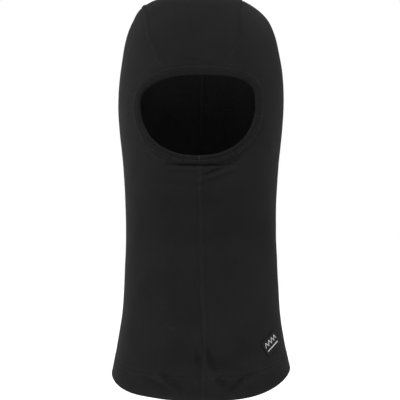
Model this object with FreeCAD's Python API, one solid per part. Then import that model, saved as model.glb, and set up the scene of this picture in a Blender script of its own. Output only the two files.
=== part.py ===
import FreeCAD, Part
import math
import os

# A knitted ski balaclava, as worn: millimetres, +X to the wearer's left, face towards -Y, +Z up.
# The origin is the middle of the head cavity, level with the widest part of the head.

# Body: the outer face of the fabric. Each row is one level section, from the crown down: height,
# half width, half depth, and how far behind the origin the section's middle lies.
SECTIONS = [
    (114, 0, 0, 8),
    (108, 43, 46, 7),
    (97, 61, 65.5, 5),
    (77, 73.6, 84, 3.5),
    (46, 80.6, 97, 2),
    (12, 84.4, 101, 1),
    (-21, 83.8, 97.5, -1.5),
    (-56, 80.2, 88.8, -6.5),
    (-94, 77.5, 78.5, -9),
    (-134, 76.7, 70, -5),
    (-176, 78.2, 70, -2),
    (-216, 81, 74.5, -0.5),
    (-246, 86.2, 81, -0.5),
    (-270, 91.2, 87, -0.5),
]
CROWN_SQUARENESS = 2.2      # exponents of the superellipses that the sections are
HEM_SQUARENESS = 2.9
HEM_DROP_FRONT = 28         # how much lower the hem hangs at the front than at the sides
HEM_DROP_BACK = 23
HEM_DROP_LENGTH = 90        # the drop fades out this far above the hem

# Fabric and seams
FABRIC = 1.2                # thickness of the knit
SEAM_GAP = 0.3              # between the cut edges that a seam joins
CLEARANCE = 0.1             # between layers that lie on each other
SEAM_CLEARANCE = 0.16       # under a seam's thread bands, which are flat across the curved fabric
SEAM_WIDTH = 5              # of the flat thread band that covers a seam
SEAM_THREAD = 0.4           # its thickness

# Face opening, seen from the front
OPENING_X = -3.3
OPENING_Z = -2.4
OPENING_HALF_WIDTH = 59.5
OPENING_ABOVE = 29.1
OPENING_BELOW = 52.7
CORNER_UPPER_LEFT = 3.3     # superellipse exponents of its corners, by the wearer's side
CORNER_UPPER_RIGHT = 2.3
CORNER_LOWER = 2.2
RIM_STEPS = 48              # sections round the opening

# Face band: a folded strip over the raw edge of the opening
BAND_WIDTH = 9
BAND_FABRIC = 0.9
RAW_EDGE = 5                # from the opening's edge to the panels' cut edge inside the fold
BAND_GAP = 0.3
ELASTIC_WIDTH = 4
ELASTIC_THICKNESS = 0.6
BAND_ROWS = (3.6, 7.6)      # needle rows, measured from the opening's edge
NEEDLE_THREAD = 0.5

# Crown seams: direction in which each one leaves the opening, in degrees up from the wearer's left,
# then the half width of the crown panel on its way over the head, at points of the flat pattern
SEAM_ANGLE_LEFT = 48
SEAM_ANGLE_RIGHT = 141
CROWN_LEVELS = (60, 81)     # heights at which the half width is measured on the forehead
CROWN_HALF_WIDTHS = (40.9, 46.3)
CROWN_LEANS = (-6.5, -6.9)   # sideways shift of the panel's middle there, as worn
CROWN_TOP = (50, -4, -7.5)   # half width, distance behind the apex, sideways shift
CROWN_REAR = ((44, 52, -3.5), (25, 98, -1))
CROWN_END = (1.5, 126, 0)

FRONT_SEAM_TOP_X = -1.5
FRONT_SEAM_HEM_X = 2.4

# Hem: 18 mm turned up, held by two needle rows and a looper thread inside
HEM_ROWS = (14, 17.5)
LOOPER_WIDTH = 5
LOOPER_AT = 15.75

# Woven label on the wearer's left, near the hem
LABEL_X = 70.7
LABEL_Z = -241
LABEL_LENGTH = 26
LABEL_HEIGHT = 16
LABEL_TILT = 31             # degrees up towards the back
LABEL_THICKNESS = 0.7
LABEL_MARGIN = 1.2          # from its edge to its stitching
RIDGE_STEPS = 8             # strokes of the zigzag woven into it
RIDGE_LENGTH = 20
RIDGE_HEIGHT = 4.5
RIDGE_STROKE = 1.8

# Care label: a blank satin loop in the back seam
CARE_WIDTH = 25
CARE_LENGTH = 38
CARE_THICKNESS = 0.6
CARE_TOP = -192
CARE_HINGE_Y = 67

PANEL_STEPS = 20            # grid cells along each side of a panel's patch

os.makedirs("parts", exist_ok=True)


# ---------------------------------------------------------------- the body's surface


def spline(points, parameters):
    curve = Part.BSplineCurve()
    curve.interpolate(Points=points, Parameters=parameters)
    return curve


def profile_curves():
    """Curves over the distance from the apex along the side: sizes and places of the sections."""
    distances = [0.0]
    for upper, lower in zip(SECTIONS, SECTIONS[1:]):
        distances.append(distances[-1] + math.hypot(lower[0] - upper[0], lower[1] - upper[1]))
    # the rows are mirrored through the apex, so that the crown is smooth there
    rows = [(-d, (z, -a, -b), m) for d, (z, a, b, m) in zip(distances[:0:-1], SECTIONS[:0:-1])]
    rows += [(d, (z, a, b), m) for d, (z, a, b, m) in zip(distances, SECTIONS)]
    parameters = [row[0] for row in rows]
    sizes = spline([FreeCAD.Vector(*row[1]) for row in rows], parameters)
    middles = spline([FreeCAD.Vector(row[2], row[0], 0) for row in rows], parameters)
    return sizes, middles, distances[-1]


SIZES, MIDDLES, HEM = profile_curves()


def squareness(distance):
    return CROWN_SQUARENESS + (HEM_SQUARENESS - CROWN_SQUARENESS) * distance / HEM


def hem_drop(distance, depth):
    """How far a point sinks below its section, depth being 1 at the front, 0 at the side, -1 behind."""
    reach = max(0.0, 1 - (HEM - distance) / HEM_DROP_LENGTH)
    drop = HEM_DROP_FRONT if depth > 0 else HEM_DROP_BACK
    return drop * (reach * depth) ** 2


def body_point(p, q):
    """Outer face of the fabric at a point of the flat pattern, whose middle is the apex."""
    distance = min(math.hypot(p, q), HEM)
    z, half_width, half_depth = SIZES.value(distance)
    across = p / max(math.hypot(p, q), 1e-9)
    ahead = -q / max(math.hypot(p, q), 1e-9)
    exponent = squareness(distance)
    reach = abs(across) ** exponent + abs(ahead) ** exponent
    scale = reach ** (-1 / exponent) if reach else 0
    x = half_width * scale * across
    y = MIDDLES.value(distance).x - half_depth * scale * ahead
    return FreeCAD.Vector(x, y, z - hem_drop(distance, scale * ahead))


def fabric_point(p, q, lift=0.0):
    """A point of the pattern, raised off the outer face by lift, which is negative inside."""
    step = 0.5
    shift = min(0.0, HEM - step - math.hypot(p, q))
    inner = 1 + shift / max(math.hypot(p, q), 1)
    a, b = p * inner, q * inner
    along_p = body_point(a + step, b) - body_point(a - step, b)
    along_q = body_point(a, b + step) - body_point(a, b - step)
    normal = along_p.cross(along_q)
    normal.normalize()
    return body_point(p, q) + normal * lift


def pattern_at(x, z):
    """The pattern's point that lies at x and z on the front of the body."""
    low, high = 1.0, HEM
    for _ in range(50):
        distance = (low + high) / 2
        height, half_width, _ = SIZES.value(distance)
        share = abs(x) / half_width
        exponent = squareness(distance)
        depth = (1 - share**exponent) ** (1 / exponent) if share < 1 else 0
        if share >= 1 or height - hem_drop(distance, depth) > z:
            low = distance
        else:
            high = distance
    angle = math.atan2(x / half_width, depth)
    return distance * math.sin(angle), -distance * math.cos(angle)


def shifted(start, across, up):
    """The pattern's point that is this far across and up from start, measured on the body."""
    p, q = start
    steps = 8
    for _ in range(steps):
        here = body_point(p, q)
        along_p, along_q = body_point(p + 1, q) - here, body_point(p, q + 1) - here
        normal = along_p.cross(along_q)
        level = FreeCAD.Vector(0, 0, 1).cross(normal).normalize()
        move = level * (across / steps) + normal.cross(level).normalize() * (up / steps)
        area = normal.dot(normal)
        p += move.cross(along_q).dot(normal) / area
        q += along_p.cross(move).dot(normal) / area
    return p, q


# ---------------------------------------------------------------- outlines on the pattern


def opening_point(degrees):
    """The opening's edge in a direction from its middle, as x and z."""
    across, up = math.cos(math.radians(degrees)), math.sin(math.radians(degrees))
    upper = CORNER_UPPER_LEFT if across > 0 else CORNER_UPPER_RIGHT
    exponent, height = (upper, OPENING_ABOVE) if up > 0 else (CORNER_LOWER, OPENING_BELOW)
    reach = abs(across / OPENING_HALF_WIDTH) ** exponent + abs(up / height) ** exponent
    radius = reach ** (-1 / exponent)
    return OPENING_X + radius * across, OPENING_Z + radius * up


def rim_point(degrees, outward):
    """The pattern's point this far outside the opening's edge, measured along the fabric."""
    x, z = opening_point(degrees)
    before, after = opening_point(degrees - 1), opening_point(degrees + 1)
    length = math.dist(before, after)
    nx, nz = (after[1] - before[1]) / length, (before[0] - after[0]) / length
    here = body_point(*pattern_at(x, z))
    there = body_point(*pattern_at(x + nx, z + nz))
    slope = math.hypot(1, there.y - here.y)
    return pattern_at(x + nx * outward / slope, z + nz * outward / slope)


def line_between(start, end):
    return lambda t: (start[0] + (end[0] - start[0]) * t, start[1] + (end[1] - start[1]) * t)


def rim_between(start, end):
    return lambda t: rim_point(start + (end - start) * t, RAW_EDGE)


def hem_between(start, end):
    """Along the hem, from one direction of the pattern to another, in radians from the front."""

    def point(t):
        angle = start + (end - start) * t
        return HEM * math.sin(angle), -HEM * math.cos(angle)

    return point


def crown_seam(side, shift=0.0):
    """Over the head from the opening to the end of the crown panel: side is 1 for the wearer's
    left, and shift moves the line away from the panel's middle."""
    points = [rim_point(SEAM_ANGLE_LEFT if side > 0 else SEAM_ANGLE_RIGHT, RAW_EDGE)]
    for level, half_width, lean in zip(CROWN_LEVELS, CROWN_HALF_WIDTHS, CROWN_LEANS):
        points.append(pattern_at(lean + side * half_width, level))
    for half_width, behind, lean in (CROWN_TOP, *CROWN_REAR, CROWN_END):
        points.append((lean + side * half_width, behind))
    curve = Part.BSplineCurve()
    curve.interpolate(Points=[FreeCAD.Vector(p + side * shift, q, 0) for p, q in points])
    first, last = curve.FirstParameter, curve.LastParameter

    def point(t):
        here = curve.value(first + (last - first) * t)
        return here.x, here.y

    return point


def front_seam_line(side=0):
    top = rim_point(-90 + 2, RAW_EDGE)
    foot = pattern_at(FRONT_SEAM_HEM_X, SECTIONS[-1][0] - HEM_DROP_FRONT + 1)
    shift = side * SEAM_GAP / 2
    angle = math.atan2(foot[0], -foot[1])
    end = (HEM * math.sin(angle) + shift * HEM / SECTIONS[-1][1], -HEM * math.cos(angle))
    return line_between((top[0] + shift * 2, top[1]), end)


def back_seam_line(side=0):
    """Below the crown panel's end; its top opens out to that end's width."""
    foot = side * SEAM_GAP / 2 * HEM / SECTIONS[-1][1]
    head = side * (CROWN_END[0] + SEAM_GAP / 2)
    fade = 12

    def point(t):
        q = CROWN_END[1] + (HEM - CROWN_END[1]) * t
        return foot + (head - foot) * math.exp(-(q - CROWN_END[1]) / fade), q

    return point


# ---------------------------------------------------------------- solids


def solid_from(faces):
    shell = Part.Shell(faces)
    shell.sewShape()
    solid = Part.Solid(shell)
    if solid.Volume < 0:
        solid.reverse()
    return solid


def wall(inner, outer):
    return Part.makeRuledSurface(inner.toShape(), outer.toShape())


def skin(grid):
    """The smooth surface through a grid of points, with evenly spaced knots, so that two skins
    that share a row of points share that whole edge."""
    rows = [spline(row, list(range(len(row)))) for row in grid]
    columns = [spline(list(column), list(range(len(grid)))) for column in zip(*(r.getPoles() for r in rows))]
    poles = list(zip(*(column.getPoles() for column in columns)))
    surface = Part.BSplineSurface()
    surface.buildFromPolesMultsKnots(
        poles, columns[0].getMultiplicities(), rows[0].getMultiplicities(),
        columns[0].getKnots(), rows[0].getKnots(), False, False, 3, 3)
    return surface


def sheet(patches, low, high, steps=PANEL_STEPS):
    """A sheet of fabric between two lifts. Each patch maps u and v, 0 to 1, to the pattern, and
    where there are two they meet along v = 0."""
    places = [i / steps for i in range(steps + 1)]
    faces = []
    for patch in patches:
        inner, outer = [skin([[fabric_point(*patch(u, v), lift) for v in places] for u in places])
                        for lift in (low, high)]
        faces += [inner.toShape(), outer.toShape()]
        u0, u1, v0, v1 = inner.bounds()
        faces += [wall(inner.uIso(u), outer.uIso(u)) for u in (u0, u1)]
        faces.append(wall(inner.vIso(v1), outer.vIso(v1)))
        if len(patches) == 1:
            faces.append(wall(inner.vIso(v0), outer.vIso(v0)))
    return solid_from(faces)


def coons(left, right, bottom, top):
    """The patch inside four outlines: left and right run along v, bottom and top along u."""

    def point(u, v):
        corners = (left(0), right(0), left(1), right(1))
        weights = ((1 - u) * (1 - v), u * (1 - v), (1 - u) * v, u * v)
        place = []
        for k in (0, 1):
            edges = (1 - u) * left(v)[k] + u * right(v)[k] + (1 - v) * bottom(u)[k] + v * top(u)[k]
            place.append(edges - sum(w * corner[k] for w, corner in zip(weights, corners)))
        return place

    return point


def ribbon(sections, closed=False):
    """A solid through cross-sections, each a list of corners in the same order."""
    count = len(sections)
    spans = [(0, count // 2), (count // 2, count)] if closed else [(0, count - 1)]
    tracks = []
    for corner in range(len(sections[0])):
        curve = Part.BSplineCurve()
        points = [section[corner] for section in sections]
        parameters = list(range(count + closed))
        curve.interpolate(Points=points, PeriodicFlag=closed, Parameters=parameters)
        tracks.append(curve)
    faces = []
    for start, end in spans:
        edges = [track.toShape(start, end) for track in tracks]
        for here, following in zip(edges, edges[1:] + edges[:1]):
            faces.append(Part.makeRuledSurface(here, following))
    if not closed:
        for section in (sections[0], sections[-1]):
            a, b, c, d = section
            faces.append(Part.makeRuledSurface(Part.makeLine(a, b), Part.makeLine(d, c)))
    return solid_from(faces)


def strip(line, start, end, low, high, width, steps=40):
    """A flat band along an outline of the pattern, between two lifts."""
    sections = []
    for i in range(steps + 1):
        t = start + (end - start) * i / steps
        near, far = line(max(t - 0.002, 0)), line(min(t + 0.002, 1))
        here = fabric_point(*line(t))
        ahead = fabric_point(*far) - fabric_point(*near)
        normal = fabric_point(*line(t), 1) - here
        sideways = normal.cross(ahead)
        sideways.normalize()
        edge = sideways * (width / 2)
        lifts = (normal * low, normal * low, normal * high, normal * high)
        sides = (edge * -1, edge, edge, edge * -1)
        sections.append([here + side + lift for side, lift in zip(sides, lifts)])
    return ribbon(sections)


def ring(corners):
    """A closed band round the opening. Each corner of its section is a distance outside the
    opening's edge and a lift."""
    sections = []
    for i in range(RIM_STEPS):
        degrees = -90 + 360 * i / RIM_STEPS
        sections.append([fabric_point(*rim_point(degrees, out), lift) for out, lift in corners])
    return ribbon(sections, closed=True)


def box_section(start, end, low, high):
    return (start, low), (end, low), (end, high), (start, high)


def hem_ring(above, width, low, high):
    """Closed rows of thread round the body, this far above its edge."""
    sections = []
    for i in range(72):
        angle = 2 * math.pi * i / 72
        section = []
        for offset, lift in box_section(above - width / 2, above + width / 2, low, high):
            distance = HEM - offset
            section.append(fabric_point(distance * math.sin(angle), -distance * math.cos(angle), lift))
        sections.append(section)
    return ribbon(sections, closed=True)


def both_faces(line, start, end):
    """The thread bands of a flat seam: one on the outer face and one on the inner."""
    outer = strip(line, start, end, SEAM_CLEARANCE, SEAM_CLEARANCE + SEAM_THREAD, SEAM_WIDTH)
    high = -FABRIC - SEAM_CLEARANCE
    inner = strip(line, start, end, high - SEAM_THREAD, high, SEAM_WIDTH)
    return Part.makeCompound([outer, inner])


# ---------------------------------------------------------------- the pieces


def crown_panel():
    half_gap = -SEAM_GAP / 2
    right = crown_seam(-1, half_gap)
    left = crown_seam(1, half_gap)
    start = rim_between(SEAM_ANGLE_RIGHT, SEAM_ANGLE_LEFT)
    first, last = start(0), start(1)

    def front(t):
        p, q = start(t)
        # the trimmed corners of the front edge
        return p + (right(0)[0] - first[0]) * (1 - t) + (left(0)[0] - last[0]) * t, q

    return sheet([coons(right, left, front, line_between(right(1), left(1)))], -FABRIC, 0)


def side_panel(side):
    """Front patch, from the opening and the front seam to the hem, and rear patch, from the crown
    seam and the back seam to the hem. They meet along a line that leaves the opening's upper
    corner outward, behind the shoulder, so that no part of the panel crosses the opening."""
    seam = crown_seam(side, SEAM_GAP / 2)
    front = front_seam_line(side)
    back = back_seam_line(side)
    hem_front = math.atan2(front(1)[0], -front(1)[1])
    hem_side = side * math.radians(120)
    around_shoulder = hem_between(hem_side, hem_front)
    hem_back = side * math.pi - side * (side * back(1)[0]) / HEM
    upper = SEAM_ANGLE_LEFT if side > 0 else SEAM_ANGLE_RIGHT - 360
    rim = rim_between(upper, -90 + 2)
    rim_start, rim_end = rim(0), rim(1)

    def opening(t):
        p, q = rim(t)
        drift = (seam(0)[0] - rim_start[0]) * (1 - t) + (front(0)[0] - rim_end[0]) * t
        return p + drift, q

    corner = hem_between(hem_side, hem_side)(0)
    split = line_between(seam(0), corner)
    front_patch = coons(opening, lambda t: around_shoulder(t**1.6), split, front)
    rear_patch = coons(seam, hem_between(hem_side, hem_back), split, back)
    return sheet([front_patch, rear_patch], -FABRIC, 0)


def face_band():
    """Folded strip: an outer leaf, the fold just inside the opening's edge, and an inner leaf."""
    top, bottom = BAND_GAP, -FABRIC - BAND_GAP
    inner_width = BAND_WIDTH - 1
    corners = (
        (BAND_WIDTH, top + BAND_FABRIC),
        (0, top + BAND_FABRIC),
        (-BAND_FABRIC, top),
        (-BAND_FABRIC, bottom),
        (0, bottom - BAND_FABRIC),
        (inner_width, bottom - BAND_FABRIC),
        (inner_width, bottom),
        (0, bottom),
        (0, top),
        (BAND_WIDTH, top),
    )
    return ring(corners)


def face_elastic():
    middle = -FABRIC / 2
    half = ELASTIC_THICKNESS / 2
    return ring(box_section(0.3, 0.3 + ELASTIC_WIDTH, middle - half, middle + half))


def face_band_stitching():
    low = BAND_GAP + BAND_FABRIC + CLEARANCE
    rows = [ring(box_section(at, at + NEEDLE_THREAD, low, low + 0.3)) for at in BAND_ROWS]
    return Part.makeCompound(rows)


def face_band_looper():
    high = -FABRIC - BAND_GAP - BAND_FABRIC - 0.3
    return ring(box_section(BAND_ROWS[0], BAND_ROWS[1], high - 0.3, high))


def face_band_join():
    """The short tack over the band's two ends, at the chin."""
    low = BAND_GAP + BAND_FABRIC + CLEARANCE
    top, bottom = rim_point(-88, 0.3), rim_point(-88, BAND_ROWS[0] - 0.3)
    return strip(line_between(top, bottom), 0, 1, low, low + 0.5, 1.6, steps=4)


def crown_seam_threads(side):
    line = crown_seam(side)
    return both_faces(line, 0.03, 0.955)


def front_seam():
    return both_faces(front_seam_line(), 0.022, 0.998)


def back_seam():
    """From just below the crown seams' ends to the hem."""
    return both_faces(back_seam_line(), 0.0, 0.998)


def hem_stitching():
    low = CLEARANCE * 2 + SEAM_THREAD
    rows = [hem_ring(above, NEEDLE_THREAD, low, low + 0.3) for above in HEM_ROWS]
    return Part.makeCompound(rows)


def hem_looper():
    high = -FABRIC - CLEARANCE * 2 - SEAM_THREAD
    return hem_ring(LOOPER_AT, LOOPER_WIDTH, high - 0.3, high)


def on_label(x, y):
    """A place on the label, from its middle: along it and up it."""
    tilt = math.radians(LABEL_TILT)
    centre = pattern_at(LABEL_X, LABEL_Z)
    across = x * math.cos(tilt) - y * math.sin(tilt)
    up = x * math.sin(tilt) + y * math.cos(tilt)
    return shifted(centre, across, up)


def label_piece(corners, low, high, steps=4):
    """A four-sided piece of the label: its corners run round from the lower left."""
    a, b, c, d = corners

    def point(u, v):
        low_edge = line_between(a, b)(u)
        high_edge = line_between(d, c)(u)
        return on_label(*line_between(low_edge, high_edge)(v))

    return sheet([point], low, high, steps)


def rectangle(x0, y0, x1, y1):
    return (x0, y0), (x1, y0), (x1, y1), (x0, y1)


LABEL_LOW = 0.2
LABEL_TOP = LABEL_LOW + LABEL_THICKNESS


def label_patch():
    half_x, half_y = LABEL_LENGTH / 2, LABEL_HEIGHT / 2
    return label_piece(rectangle(-half_x, -half_y, half_x, half_y), LABEL_LOW, LABEL_TOP, 6)


def label_motif():
    """A zigzag ridge line over a plain bar."""
    step = RIDGE_LENGTH / RIDGE_STEPS
    low, high = LABEL_TOP + 0.05, LABEL_TOP + 0.25
    strokes = []
    for i in range(RIDGE_STEPS):
        x0 = -RIDGE_LENGTH / 2 + step * i + 0.05
        x1 = x0 + step - 0.1
        y0, y1 = (-1, RIDGE_HEIGHT - 1) if i % 2 == 0 else (RIDGE_HEIGHT - 1, -1)
        corners = (x0, y0), (x1, y1), (x1, y1 + RIDGE_STROKE), (x0, y0 + RIDGE_STROKE)
        strokes.append(label_piece(corners, low, high))
    strokes.append(label_piece(rectangle(-RIDGE_LENGTH / 2, -4.5, RIDGE_LENGTH / 2, -3.3), low, high, 6))
    return Part.makeCompound(strokes)


def label_stitching():
    half_x = LABEL_LENGTH / 2 - LABEL_MARGIN
    half_y = LABEL_HEIGHT / 2 - LABEL_MARGIN
    low, high = LABEL_TOP + 0.05, LABEL_TOP + 0.35
    thread = NEEDLE_THREAD
    rows = [
        rectangle(-half_x, -half_y, half_x, -half_y + thread),
        rectangle(-half_x, half_y - thread, half_x, half_y),
        rectangle(-half_x, -half_y + thread + 0.1, -half_x + thread, half_y - thread - 0.1),
        rectangle(half_x - thread, -half_y + thread + 0.1, half_x, half_y - thread - 0.1),
    ]
    return Part.makeCompound([label_piece(corners, low, high, 4) for corners in rows])


def care_label():
    corner = FreeCAD.Vector(-CARE_WIDTH / 2, CARE_HINGE_Y - CARE_THICKNESS / 2, CARE_TOP - CARE_LENGTH)
    loop = Part.makeBox(CARE_WIDTH, CARE_THICKNESS, CARE_LENGTH, corner)
    folds = [edge for edge in loop.Edges if abs(edge.BoundBox.ZMax - corner.z) < 0.01
             and edge.BoundBox.XLength > CARE_WIDTH / 2]
    return loop.makeFillet(CARE_THICKNESS * 0.45, folds)


def care_label_tack():
    """Short row of thread that holds the loop's cut ends against the back seam."""
    corner = FreeCAD.Vector(-CARE_WIDTH / 2, CARE_HINGE_Y - 0.3, CARE_TOP + 0.6)
    return Part.makeBox(CARE_WIDTH, 1.0, 0.8, corner)


PIECES = {
    "crown_panel": crown_panel(),
    "left_side_panel": side_panel(1),
    "right_side_panel": side_panel(-1),
    "face_band": face_band(),
    "face_elastic": face_elastic(),
    "face_band_stitching": face_band_stitching(),
    "face_band_looper": face_band_looper(),
    "face_band_join": face_band_join(),
    "crown_seam_left": crown_seam_threads(1),
    "crown_seam_right": crown_seam_threads(-1),
    "front_seam": front_seam(),
    "back_seam": back_seam(),
    "hem_stitching": hem_stitching(),
    "hem_looper": hem_looper(),
    "label_patch": label_patch(),
    "label_motif": label_motif(),
    "label_stitching": label_stitching(),
    "care_label": care_label(),
    "care_label_tack": care_label_tack(),
}

for name, shape in PIECES.items():
    print(name, "valid" if shape.isValid() else "NOT VALID", len(shape.Solids), round(shape.Volume, 1))
    shape.exportStep(f"parts/{name}.step")
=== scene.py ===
import math

import bpy
import numpy as np
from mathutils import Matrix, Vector
from mathutils.bvhtree import BVHTree


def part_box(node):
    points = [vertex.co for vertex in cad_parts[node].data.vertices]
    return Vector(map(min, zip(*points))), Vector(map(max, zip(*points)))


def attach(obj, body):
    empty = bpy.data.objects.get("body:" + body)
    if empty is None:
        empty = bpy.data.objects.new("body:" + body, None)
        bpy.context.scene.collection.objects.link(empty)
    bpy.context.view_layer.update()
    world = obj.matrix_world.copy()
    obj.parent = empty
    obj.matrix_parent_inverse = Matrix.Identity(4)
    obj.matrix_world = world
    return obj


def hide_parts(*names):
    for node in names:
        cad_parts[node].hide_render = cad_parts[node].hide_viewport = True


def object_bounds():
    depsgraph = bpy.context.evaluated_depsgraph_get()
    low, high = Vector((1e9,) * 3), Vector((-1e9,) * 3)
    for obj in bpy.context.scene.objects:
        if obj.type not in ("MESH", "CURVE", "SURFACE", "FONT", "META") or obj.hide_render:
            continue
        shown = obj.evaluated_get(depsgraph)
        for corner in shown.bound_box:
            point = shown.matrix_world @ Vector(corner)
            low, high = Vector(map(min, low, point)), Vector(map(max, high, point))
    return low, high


# The looks of a knitted balaclava, in metres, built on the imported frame. The garment is mapped from
# a flat pattern whose middle is the crown: p runs to the wearer's left and q to the back, and the
# distance from the middle is measured down the side.

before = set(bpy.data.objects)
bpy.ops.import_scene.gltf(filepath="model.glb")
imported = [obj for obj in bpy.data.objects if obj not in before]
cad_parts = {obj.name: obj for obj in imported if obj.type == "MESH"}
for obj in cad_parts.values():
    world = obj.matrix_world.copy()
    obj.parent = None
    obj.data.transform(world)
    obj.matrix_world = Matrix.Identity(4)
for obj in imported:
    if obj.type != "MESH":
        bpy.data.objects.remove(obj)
CAD_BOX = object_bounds()
MM = 0.001

# Fabric
THICKNESS = 1.2 * MM
CROWN_SQUARENESS = 2.2      # exponents of the superellipses that the level sections are
HEM_SQUARENESS = 2.9
HEM_FOLD = 19 * MM          # width of the turned-up hem
FOLD_RADIUS = 1.25 * MM
DROP_LENGTH = 90 * MM       # the hem's dip at front and back fades out this far above it

# Unevenness of the filled garment
CORNER_DROP = 5.5 * MM      # extra dip of the hem's corner on the wearer's right
CORNER_LENGTH = 45 * MM
CROWN_LEAN = 2.6 * MM       # the top of the crown leans to the wearer's right
LEAN_LEVEL = 84 * MM
CROWN_SPREAD = 3.8 * MM     # over the forehead the crown's seams are pulled apart
SPREAD_LEVEL = 64 * MM
SEAM_SWAY = 2.6 * MM        # the front seam swings to the wearer's left above the hem
SWAY_LEVEL = -240 * MM
LEFT_BULGES = ((34 * MM, 28 * MM, 1.2 * MM), (-185 * MM, 40 * MM, 0.9 * MM))    # height, reach, size

# Face band, measured outwards from its fold
BAND_WIDTH = 9.4 * MM
RAW_EDGE = 6 * MM           # the panels' cut edge, inside the band's fold
BAND_TOP = 1.2 * MM         # lift of its outer face
BAND_GAP = 0.3 * MM         # lift of the outer leaf's underside
BAND_BACK = -2.4 * MM       # lift of its face inside the garment
BAND_ROWS = (4.6 * MM, 8.1 * MM)
TACK_ANGLE = -1.54          # where the band's ends meet, close to the chin
WIDEST_SHARE = 0.356        # the opening is widest this far down its height

# Stitching
NEEDLE = 0.19 * MM          # radius of a needle thread
COVER = 0.15 * MM           # radius of a cover thread
SEAM_HALF = 1.75 * MM       # half the width of a flat seam
HEM_ROWS = (14.2 * MM, 17.7 * MM)

rng = np.random.default_rng(7)


# ---- measuring the frame


def cad_points(node):
    return np.array([vertex.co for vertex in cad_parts[node].data.vertices], float)


def shell_tree():
    """A search tree over the CAD surfaces of the panels."""
    points, faces = [], []
    for node in ("crown_panel", "left_side_panel", "right_side_panel"):
        faces += [[v + len(points) for v in face.vertices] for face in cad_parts[node].data.polygons]
        points += cad_points(node).tolist()
    return BVHTree.FromPolygons(points, faces)


SHELL = shell_tree()


def shell_hit(start, direction):
    return SHELL.ray_cast(Vector(start), Vector(direction))[0]


def cubic(knots, rows):
    """A natural cubic spline through rows of values at the knots."""
    knots, rows = np.asarray(knots, float), np.asarray(rows, float)
    gaps = np.diff(knots)
    count = len(knots)
    system, target = np.eye(count), np.zeros_like(rows)
    for i in range(1, count - 1):
        system[i, i - 1:i + 2] = gaps[i - 1], 2 * (gaps[i - 1] + gaps[i]), gaps[i]
        target[i] = 6 * ((rows[i + 1] - rows[i]) / gaps[i] - (rows[i] - rows[i - 1]) / gaps[i - 1])
    bends = np.linalg.solve(system, target)

    def at(x):
        x = np.asarray(x, float)
        i = np.clip(np.searchsorted(knots, x) - 1, 0, count - 2)
        gap = gaps[i][..., None]
        before, after = (x - knots[i])[..., None], (knots[i + 1] - x)[..., None]
        curve = (bends[i] * after**3 + bends[i + 1] * before**3) / (6 * gap)
        return (curve + (rows[i] / gap - bends[i] * gap / 6) * after
                + (rows[i + 1] / gap - bends[i + 1] * gap / 6) * before)

    return at


def side_hem_level():
    left = cad_points("left_side_panel")
    return left[abs(left[:, 1]) < 4 * MM][:, 2].min()


def squareness(distance, length):
    """Exponent of the superellipse this far down the side."""
    return CROWN_SQUARENESS + (HEM_SQUARENESS - CROWN_SQUARENESS) * distance / length


def lengths_along(points):
    """How far each point of a line is from its first one, along it."""
    return np.concatenate([[0.0], np.cumsum(np.linalg.norm(np.diff(points, axis=0), axis=-1))])


def measure_sections():
    """Height, half width, half depth and middle of level sections of the CAD body, as a function of
    the distance from the crown down the side."""
    top = CAD_BOX[1].z
    drops_mm = (6, 17, 37, 68, 102, 135, 170, 208, 248, 290, 330, 360)
    levels = [top - drop * MM for drop in drops_mm] + [side_hem_level() + 0.5 * MM]
    widths = [shell_hit((0.3, 0, z), (-1, 0, 0)).x for z in levels]
    distances = lengths_along([(top, 0.0), *zip(levels, widths)])
    share, beside_seam = 0.83, 4 * MM
    rows = []
    for z, width, distance in zip(levels, widths, distances[1:]):
        back = shell_hit((beside_seam, 0.3, z), (0, -1, 0)).y
        front = shell_hit((share * width, -0.3, z), (0, 1, 0)).y
        exponent = squareness(distance, distances[-1])
        depth = (back - front) / (1 + (1 - share**exponent) ** (1 / exponent))
        rows.append((z, width, depth, back - depth))
    crown = (top, 0.0, 0.0, rows[0][3] + (rows[0][3] - rows[1][3]) / 3)
    mirrored = [(z, -a, -b, m) for z, a, b, m in rows[::-1]]
    knots = np.concatenate([-distances[:0:-1], distances])
    return cubic(knots, [*mirrored, crown, *rows]), distances[-1]


SECTION, HEM = measure_sections()


def hem_drops():
    """How far the hem's front and back hang below its sides."""
    left = cad_points("left_side_panel")
    middle = left[abs(left[:, 0]) < 12 * MM]
    return tuple(side_hem_level() - middle[middle[:, 1] * way > 0][:, 2].min() for way in (-1, 1))


FRONT_DROP, BACK_DROP = hem_drops()


def smooth(t):
    t = np.clip(t, 0, 1)
    return t * t * (3 - 2 * t)


def bell(x, width):
    """1 at x = 0, falling off softly to both sides."""
    return np.exp(-((x / width) ** 2))


def hem_drop(distance, depth):
    reach = np.maximum(0, 1 - (HEM - distance) / DROP_LENGTH)
    return np.where(depth > 0, FRONT_DROP, BACK_DROP) * (reach * depth) ** 2


# ---- pattern and body


def body(pattern):
    """Points of the garment's outer face, without its folds, from points of the pattern."""
    p, q = pattern[..., 0], pattern[..., 1]
    full = np.maximum(np.hypot(p, q), 1e-9)
    distance = np.minimum(full, HEM)
    section = SECTION(distance)
    across, ahead = p / full, -q / full
    exponent = squareness(distance, HEM)
    scale = (abs(across) ** exponent + abs(ahead) ** exponent) ** (-1 / exponent)
    x = section[..., 1] * scale * across
    y = section[..., 3] - section[..., 2] * scale * ahead
    return np.stack([x, y, section[..., 0] - hem_drop(distance, scale * ahead)], -1)


def slopes(pattern):
    """How the body's point moves with p and with q."""
    step = 0.5 * MM
    full = np.maximum(from_crown(pattern), MM)
    inside = pattern * np.minimum(1, (HEM - step) / full)[..., None]
    along_p = body(inside + [step, 0]) - body(inside - [step, 0])
    along_q = body(inside + [0, step]) - body(inside - [0, step])
    return along_p / (2 * step), along_q / (2 * step)


def unit(vectors):
    return vectors / np.linalg.norm(vectors, axis=-1, keepdims=True)


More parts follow.
